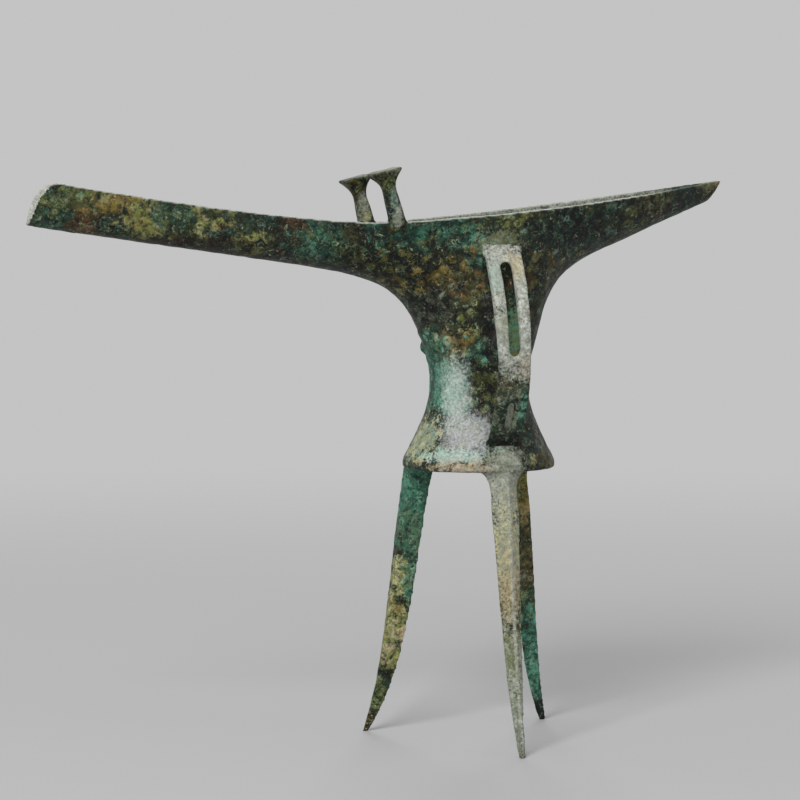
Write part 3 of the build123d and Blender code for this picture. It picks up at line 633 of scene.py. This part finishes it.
def crusted_and_shaded(tree, place, colour, crusts_and_shades, patina, islands, lights):
    """Ground colour with every crust and every mark of painted shade laid over it in turn."""
    tears = centred(tree, islands, patina.tearing)
    for centre, reach, light, dark, share, cover, torn in crusts_and_shades:
        away = away_from(tree, place, centre, reach)
        edge = calculate(tree, "SUBTRACT", calculate(tree, "MULTIPLY", tears, torn), away)
        mask = stretch(tree, edge, *CRUST_AND_SHADE_EDGE, 0.0, cover)
        lit = calculate(tree, "MULTIPLY", lights, share)
        tone = mix_colour(tree, lit, palette(patina, dark), palette(patina, light))
        colour = mix_colour(tree, mask, colour, tone)
    return colour


def grained(tree, place, colour, patina, threads, chance):
    """Colour with pale threads and small scattered turquoise, rusty and pale grains."""
    pale = mix_colour(tree, chance, palette(patina, "moss"), palette(patina, "pale_turquoise"))
    colour = mix_colour(tree, calculate(tree, "MULTIPLY", threads, patina.thread_cover), colour, pale)
    for shift, size, low, high, cover, name in GRAINS:
        field = noise_field(tree, place, size, (shift, *GRAIN_NOISE))
        colour = mix_colour(tree, stretch(tree, field, low, high, 0.0, cover), colour, palette(patina, name))
    return colour


def bloomed_and_highlighted(tree, place, colour, blooms_and_highlights, patina, dust, islands, mottle):
    """Colour with every pale bloom and every mark of painted highlight laid over it, dissolving into grains
    at its edge.
    """
    grit = calculate(tree, "ADD", centred(tree, dust, patina.grit), centred(tree, islands, patina.grit))
    soft = stretch(tree, mottle, *BLOOM_AND_HIGHLIGHT_LEVELS)
    for centre, reach, first, second, cover, grainy in blooms_and_highlights:
        away = away_from(tree, place, centre, reach)
        edge = calculate(tree, "SUBTRACT", calculate(tree, "MULTIPLY", grit, grainy), away)
        mask = stretch(tree, edge, *BLOOM_AND_HIGHLIGHT_EDGE, 0.0, cover)
        tone = mix_colour(tree, soft, palette(patina, second), palette(patina, first))
        colour = mix_colour(tree, mask, colour, tone)
    return colour


def make_patina(finish, patina):
    """Bronze under layers of corrosion, with the crusts, blooms, painted shade and painted highlights of one
    finish.
    """
    material = bpy.data.materials.new("patina_" + finish)
    material.use_nodes = True
    tree = material.node_tree
    tree.nodes.clear()
    place = add_node(tree, "ShaderNodeTexCoord").outputs["Object"]
    bent = bent_place(tree, place, patina)
    islands = noise_field(tree, bent, patina.island_size, ISLAND_NOISE)
    mottle = noise_field(tree, bent, patina.grain_size, MOTTLE_NOISE)
    hollows = noise_field(tree, bent, patina.pit_size, HOLLOW_NOISE)
    dust = noise_field(tree, place, patina.dust_size, DUST_NOISE)
    away, chance, tear_chance, ring_chance = lump_fields(tree, bent, patina.lump_size)
    lumpiness = LUMPINESS[finish]
    lumpy = calculate(tree, "ADD", mottle, centred(tree, chance, LUMP_SPREAD * lumpiness))
    threads = thread_field(tree, bent, patina, away, ring_chance)
    lights = calculate(tree, "MAXIMUM", stretch(tree, lumpy, *LIGHT_LEVELS), threads)
    torn_islands = calculate(tree, "ADD", islands, centred(tree, tear_chance, TEAR_SPREAD))
    lump_shade = (*LUMP_EDGE, LUMP_BRIGHTNESS, LUMP_BRIGHTNESS - LUMP_LOSS * lumpiness)

    colour = ground_colour(tree, bent, patina)
    colour = crusted_and_shaded(tree, bent, colour, CRUSTS_AND_SHADES[finish], patina, torn_islands, lights)
    colour = grained(tree, bent, colour, patina, threads, tear_chance)
    colour = scaled(tree, colour, stretch(tree, hollows, *HOLLOW_SHADE))
    colour = scaled(tree, colour, stretch(tree, away, *lump_shade))
    colour = bloomed_and_highlighted(tree, place, colour, BLOOMS_AND_HIGHLIGHTS[finish], patina, dust, islands, mottle)
    # Pale upward tops of the lips: partly wear, partly painted highlight
    worn_and_lit = add_node(tree, "ShaderNodeAttribute", {"attribute_name": WEAR_AND_HIGHLIGHT}).outputs["Fac"]
    bright = mix_colour(tree, mottle, palette(patina, "grey"), palette(patina, "chalk"))
    colour = mix_colour(tree, worn_and_lit, colour, bright)
    colour = scaled(tree, colour, stretch(tree, dust, *DUST_SHADE))

    height = calculate(tree, "ADD", islands, calculate(tree, "MULTIPLY", lights, LIGHT_RELIEF))
    height = calculate(tree, "ADD", height, calculate(tree, "SUBTRACT", hollows, away))
    height = calculate(tree, "ADD", height, dust)
    bump = add_node(
        tree, "ShaderNodeBump", None,
        {"Strength": BUMP_STRENGTH, "Distance": patina.relief, "Height": height},
    ).outputs["Normal"]
    roughness = stretch(tree, islands, *ISLAND_ROUGHNESS)
    shader = add_node(
        tree, "ShaderNodeBsdfPrincipled", None,
        {
            "Base Color": colour,
            "Metallic": 0.0,
            "Roughness": roughness,
            "Specular IOR Level": patina.gloss,
            "Normal": bump,
        },
    )
    output = add_node(tree, "ShaderNodeOutputMaterial")
    tree.links.new(shader.outputs["BSDF"], output.inputs["Surface"])
    return material


# Cast skin


def joined_members(overlap):
    """One mesh of all the CAD members, each grown a little into its neighbours."""
    whole = bmesh.new()
    for name in sorted(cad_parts):
        part = bmesh.new()
        part.from_mesh(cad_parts[name].data)
        bmesh.ops.remove_doubles(part, verts=part.verts, dist=WELD_DISTANCE)
        bmesh.ops.recalc_face_normals(part, faces=part.faces)
        part.normal_update()
        for vertex in part.verts:
            vertex.co += vertex.normal * overlap
        grown = bpy.data.meshes.new(name + "_grown")
        part.to_mesh(grown)
        part.free()
        whole.from_mesh(grown)
        bpy.data.meshes.remove(grown)
    mesh = bpy.data.meshes.new(SKIN_NAME + "_source")
    whole.to_mesh(mesh)
    whole.free()
    return mesh


def melted(mesh, voxel, smoothing):
    """The joined members as one closed skin with rounded edges."""
    source = bpy.data.objects.new(SKIN_NAME + "_source", mesh)
    bpy.context.scene.collection.objects.link(source)
    remesh = source.modifiers.new("melt", "REMESH")
    remesh.mode = "VOXEL"
    remesh.voxel_size = voxel
    smooth = source.modifiers.new("soften", "SMOOTH")
    smooth.factor = SMOOTHING_SHARE
    smooth.iterations = smoothing
    bpy.context.view_layer.update()
    graph = bpy.context.evaluated_depsgraph_get()
    skin = bpy.data.meshes.new_from_object(source.evaluated_get(graph))
    bpy.data.objects.remove(source)
    bpy.data.meshes.remove(mesh)
    skin.name = SKIN_NAME
    return skin


def roughen(skin, cast):
    """Moves the skin in and out as an old casting is uneven, crusted and pitted."""
    count = len(skin.vertices)
    places = np.empty(count * 3)
    skin.vertices.foreach_get("co", places)
    places = places.reshape(-1, 3)
    normals = np.empty(count * 3)
    skin.vertex_normals.foreach_get("vector", normals)
    normals = normals.reshape(-1, 3)
    rise = np.empty(count)
    for index, place in enumerate(places):
        point = Vector(place)
        slow = noise.noise(point / cast.swell_reach)
        lumps = noise.noise(point / cast.crust_reach + LUMP_SHIFT)
        pits = noise.noise(point / cast.pit_reach + PIT_SHIFT)
        rise[index] = cast.swell * slow + cast.crust * lumps - cast.pit * max(pits - cast.pit_level, 0.0)
    places = places + normals * rise[:, None]
    places[:, 2] = np.maximum(places[:, 2], 0.0)
    skin.vertices.foreach_set("co", places.ravel())
    skin.update()


def member_tree():
    """Search tree of the CAD members' faces, with the member that each face belongs to."""
    points, faces, owners = [], [], []
    for name in sorted(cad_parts):
        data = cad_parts[name].data
        start = len(points)
        points.extend(vertex.co.copy() for vertex in data.vertices)
        for face in data.polygons:
            faces.append([start + index for index in face.vertices])
            owners.append(name)
    return BVHTree.FromPolygons(points, faces), owners


def shared_out(skin):
    """For each member, the indices of the skin's faces that lie nearest to it."""
    tree, owners = member_tree()
    shares = {name: [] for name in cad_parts}
    for face in skin.polygons:
        found = tree.find_nearest(face.center)
        shares[owners[found[2]]].append(face.index)
    return shares


def faces_inside(name, centres, normals):
    """Whether each face of a member is on the wine's side of the wall."""
    low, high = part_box("lower_body")
    axis = (np.array(low) + np.array(high)) / 2
    inwards = np.zeros_like(centres)
    inwards[:, 1] = axis[1] - centres[:, 1]
    if "lip" in name:
        return np.sign(inwards[:, 1]) * normals[:, 1] > RIM_INNER_SLOPE
    if name in OPEN_TROUGHS:
        inwards[:, 0] = OPEN_TROUGHS[name] * (axis[0] - centres[:, 0])
        inwards[:, 2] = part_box("rim_lip_near")[1][2] - centres[:, 2]
    elif name in ROUND_WALLS:
        inwards[:, 0] = axis[0] - centres[:, 0]
    else:
        return np.zeros(len(centres), bool)
    if name == "base_plate":
        floor_radius = (high[0] - low[0]) / 2 - BASE_EDGE
        return (normals[:, 2] > FLOOR_SLOPE) & (np.linalg.norm(inwards, axis=1) < floor_radius)
    return (inwards * normals).sum(1) > 0


def eased(values, low, high):
    """Values spread smoothly from 0 at the low level to 1 at the high one."""
    share = np.clip((values - low) / (high - low), 0.0, 1.0)
    return share * share * (3 - 2 * share)


def rim_wear_and_highlight(name, points, normals):
    """How far each point is made pale, as worn metal and as painted highlight: the upward tops of the lips
    are, but not at the tail's tip.
    """
    if "lip" not in name:
        return np.zeros(len(points))
    return eased(normals[:, 2], *WORN_AND_LIT_SLOPES) * (1 - eased(points[:, 0], *TAIL_FADE))


def make_piece(name, skin, faces, materials):
    """Object for one member, cut from the skin, in place of its CAD node."""
    polygons = [skin.polygons[index] for index in faces]
    used = sorted({vertex for face in polygons for vertex in face.vertices})
    order = {old: new for new, old in enumerate(used)}
    points = [skin.vertices[index].co[:] for index in used]
    outwards = [skin.vertex_normals[index].vector[:] for index in used]
    lists = [[order[vertex] for vertex in face.vertices] for face in polygons]
    mesh = bpy.data.meshes.new(name + "_cast")
    mesh.from_pydata(points, [], lists)
    for material in materials:
        mesh.materials.append(material)
    centres = np.array([face.center[:] for face in polygons])
    normals = np.array([face.normal[:] for face in polygons])
    mesh.polygons.foreach_set("material_index", faces_inside(name, centres, normals).astype(np.int32))
    mesh.polygons.foreach_set("use_smooth", np.ones(len(polygons), bool))
    mesh.normals_split_custom_set_from_vertices(outwards)
    wear_and_highlight = mesh.attributes.new(WEAR_AND_HIGHLIGHT, "FLOAT", "POINT")
    wear_and_highlight.data.foreach_set("value", rim_wear_and_highlight(name, np.array(points), np.array(outwards)))
    mesh.update()
    piece = bpy.data.objects.new(name + "_cast", mesh)
    bpy.context.scene.collection.objects.link(piece)
    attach(piece, BODY)
    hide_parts(name)
    return piece


class Foundry:
    """What the operators hand on to each other: the skin, its shares and the materials."""

    skin = None
    shares = {}
    patina = {}


# Stage


def area_light(name, place, target, width, power):
    """Square soft light at a place, turned towards a target."""
    data = bpy.data.lights.new(name, "AREA")
    data.shape = "SQUARE"
    data.size = width
    data.energy = power
    lamp = bpy.data.objects.new(name, data)
    lamp.location = place
    lamp.rotation_euler = (Vector(target) - Vector(place)).to_track_quat("-Z", "Y").to_euler()
    bpy.context.scene.collection.objects.link(lamp)


def make_world(stage):
    """Even light from all round, and a plain pale background where the camera looks past the floor."""
    world = bpy.data.worlds.new("studio")
    bpy.context.scene.world = world
    world.use_nodes = True
    tree = world.node_tree
    tree.nodes.clear()
    even = add_node(tree, "ShaderNodeBackground", None, {"Strength": stage.ambient})
    plain = add_node(tree, "ShaderNodeBackground", None, {"Strength": stage.backdrop})
    for background in (even, plain):
        background.inputs["Color"].default_value = (1.0, 1.0, 1.0, 1.0)
    rays = add_node(tree, "ShaderNodeLightPath").outputs
    shown = calculate(tree, "MAXIMUM", rays["Is Camera Ray"], rays["Is Glossy Ray"])
    shown = calculate(tree, "MAXIMUM", shown, rays["Is Transmission Ray"])
    choice = add_node(tree, "ShaderNodeMixShader", None, {0: shown, 1: even.outputs[0], 2: plain.outputs[0]})
    output = add_node(tree, "ShaderNodeOutputWorld")
    tree.links.new(choice.outputs[0], output.inputs["Surface"])


def make_floor(stage):
    """Plain pale floor under the vessel, which fades into the plain background."""
    material = bpy.data.materials.new("floor")
    material.use_nodes = True
    tree = material.node_tree
    shader = tree.nodes["Principled BSDF"]
    shader.inputs["Base Color"].default_value = (*stage.floor_colour, 1.0)
    shader.inputs["Roughness"].default_value = FLOOR_ROUGHNESS
    shader.inputs["Specular IOR Level"].default_value = FLOOR_GLOSS
    place = add_node(tree, "ShaderNodeTexCoord").outputs["Object"]
    away = add_node(tree, "ShaderNodeVectorMath", {"operation": "LENGTH"}, {0: place}).outputs["Value"]
    clear = add_node(tree, "ShaderNodeBsdfTransparent")
    faded = add_node(
        tree, "ShaderNodeMixShader", None,
        {
            0: stretch(tree, away, stage.floor_near, stage.floor_far),
            1: shader.outputs["BSDF"],
            2: clear.outputs["BSDF"],
        },
    )
    tree.links.new(faded.outputs[0], tree.nodes["Material Output"].inputs["Surface"])
    mesh = bpy.data.meshes.new("floor")
    reach = stage.floor_far
    corners = [(-reach, -reach, 0.0), (reach, -reach, 0.0), (reach, reach, 0.0), (-reach, reach, 0.0)]
    mesh.from_pydata(corners, [], [(0, 1, 2, 3)])
    mesh.materials.append(material)
    floor = bpy.data.objects.new("floor", mesh)
    bpy.context.scene.collection.objects.link(floor)
    floor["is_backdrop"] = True


def make_camera(stage):
    """Camera at the photograph's place and angle."""
    data = bpy.data.cameras.new("camera")
    data.sensor_width = stage.sensor
    data.lens = stage.lens
    camera = bpy.data.objects.new("camera", data)
    camera.location = stage.eye
    camera.rotation_euler = (math.pi / 2 - stage.tilt, 0.0, -stage.heading)
    bpy.context.scene.collection.objects.link(camera)
    bpy.context.scene.camera = camera


# Operators


class JUE_OT_cast(bpy.types.Operator):
    """Melt the CAD members into one rough cast skin and make its materials"""

    bl_idname = "jue.cast"
    bl_label = "Cast the skin"

    def execute(self, context):
        cast = context.scene.jue_cast
        skin = melted(joined_members(cast.overlap), cast.voxel, cast.smoothing)
        if len(skin.polygons) == 0:
            raise RuntimeError("the members did not melt into a skin")
        roughen(skin, cast)
        Foundry.skin = skin
        Foundry.shares = shared_out(skin)
        Foundry.patina = {finish: make_patina(finish, context.scene.jue_patina) for finish in CRUSTS_AND_SHADES}
        return {"FINISHED"}


class JuePieces:
    """Shared work of the operators that make a group of pieces."""

    group = ""

    def execute(self, context):
        for name in GROUPS[self.group]:
            if not Foundry.shares[name]:
                raise RuntimeError("no skin was left for " + name)
            materials = [Foundry.patina[FINISHES[self.group]], Foundry.patina["inside"]]
            make_piece(name, Foundry.skin, Foundry.shares[name], materials)
        return {"FINISHED"}


class JUE_OT_body(JuePieces, bpy.types.Operator):
    """Make the waisted body and its flat base"""

    bl_idname = "jue.body"
    bl_label = "Body"
    group = "body"


class JUE_OT_spout(JuePieces, bpy.types.Operator):
    """Make the long open spout and its edges"""

    bl_idname = "jue.spout"
    bl_label = "Spout"
    group = "spout"


class JUE_OT_tail(JuePieces, bpy.types.Operator):
    """Make the pointed tail and its edges"""

    bl_idname = "jue.tail"
    bl_label = "Tail"
    group = "tail"


class JUE_OT_mouth(JuePieces, bpy.types.Operator):
    """Make the thickened edges of the mouth"""

    bl_idname = "jue.mouth"
    bl_label = "Mouth"
    group = "mouth"


class JUE_OT_posts(JuePieces, bpy.types.Operator):
    """Make the posts on the rim and their flared caps"""

    bl_idname = "jue.posts"
    bl_label = "Posts"
    group = "posts"


class JUE_OT_handle(JuePieces, bpy.types.Operator):
    """Make the slotted strap handle"""

    bl_idname = "jue.handle"
    bl_label = "Handle"
    group = "handle"


class JUE_OT_legs(JuePieces, bpy.types.Operator):
    """Make the three ridged legs"""

    bl_idname = "jue.legs"
    bl_label = "Legs"
    group = "legs"


class JUE_OT_ornament(JuePieces, bpy.types.Operator):
    """Make the raised lines and the bosses"""

    bl_idname = "jue.ornament"
    bl_label = "Ornament"
    group = "ornament"


class JUE_OT_stage(bpy.types.Operator):
    """Set up the camera, the plain floor and the soft studio light"""

    bl_idname = "jue.stage"
    bl_label = "Stage"

    def execute(self, context):
        stage = context.scene.jue_stage
        make_camera(stage)
        low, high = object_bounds()
        middle = (low + high) / 2
        area_light("key", stage.key_place, middle, stage.lamp_width, stage.key_power)
        area_light("fill", stage.fill_place, middle, stage.lamp_width, stage.fill_power)
        area_light("back", stage.back_place, middle, stage.lamp_width, stage.back_power)
        make_world(stage)
        make_floor(stage)
        context.scene.view_settings.view_transform = "Standard"
        return {"FINISHED"}


STEPS = ["cast", "body", "spout", "tail", "mouth", "posts", "handle", "legs", "ornament", "stage"]


class VIEW3D_PT_jue(bpy.types.Panel):
    """Sidebar with the settings and the steps, in order"""

    bl_idname = "VIEW3D_PT_jue"
    bl_label = "Bronze Jue"
    bl_space_type = "VIEW_3D"
    bl_region_type = "UI"
    bl_category = "Jue"

    def draw(self, context):
        scene = context.scene
        for group in (scene.jue_cast, scene.jue_patina, scene.jue_stage):
            box = self.layout.box()
            for name in group.__annotations__:
                box.prop(group, name)
        for step in STEPS:
            self.layout.operator("jue." + step)


CLASSES = [
    JueCastSettings,
    JuePatinaSettings,
    JueStageSettings,
    JUE_OT_cast,
    JUE_OT_body,
    JUE_OT_spout,
    JUE_OT_tail,
    JUE_OT_mouth,
    JUE_OT_posts,
    JUE_OT_handle,
    JUE_OT_legs,
    JUE_OT_ornament,
    JUE_OT_stage,
    VIEW3D_PT_jue,
]


def register():
    for cls in CLASSES:
        bpy.utils.register_class(cls)
    bpy.types.Scene.jue_cast = bpy.props.PointerProperty(type=JueCastSettings)
    bpy.types.Scene.jue_patina = bpy.props.PointerProperty(type=JuePatinaSettings)
    bpy.types.Scene.jue_stage = bpy.props.PointerProperty(type=JueStageSettings)


def unregister():
    del bpy.types.Scene.jue_stage
    del bpy.types.Scene.jue_patina
    del bpy.types.Scene.jue_cast
    for cls in reversed(CLASSES):
        bpy.utils.unregister_class(cls)


def main():
    register()
    for step in STEPS:
        getattr(bpy.ops.jue, step)()
    bpy.data.meshes.remove(Foundry.skin)


if __name__ == "__main__":
    main()
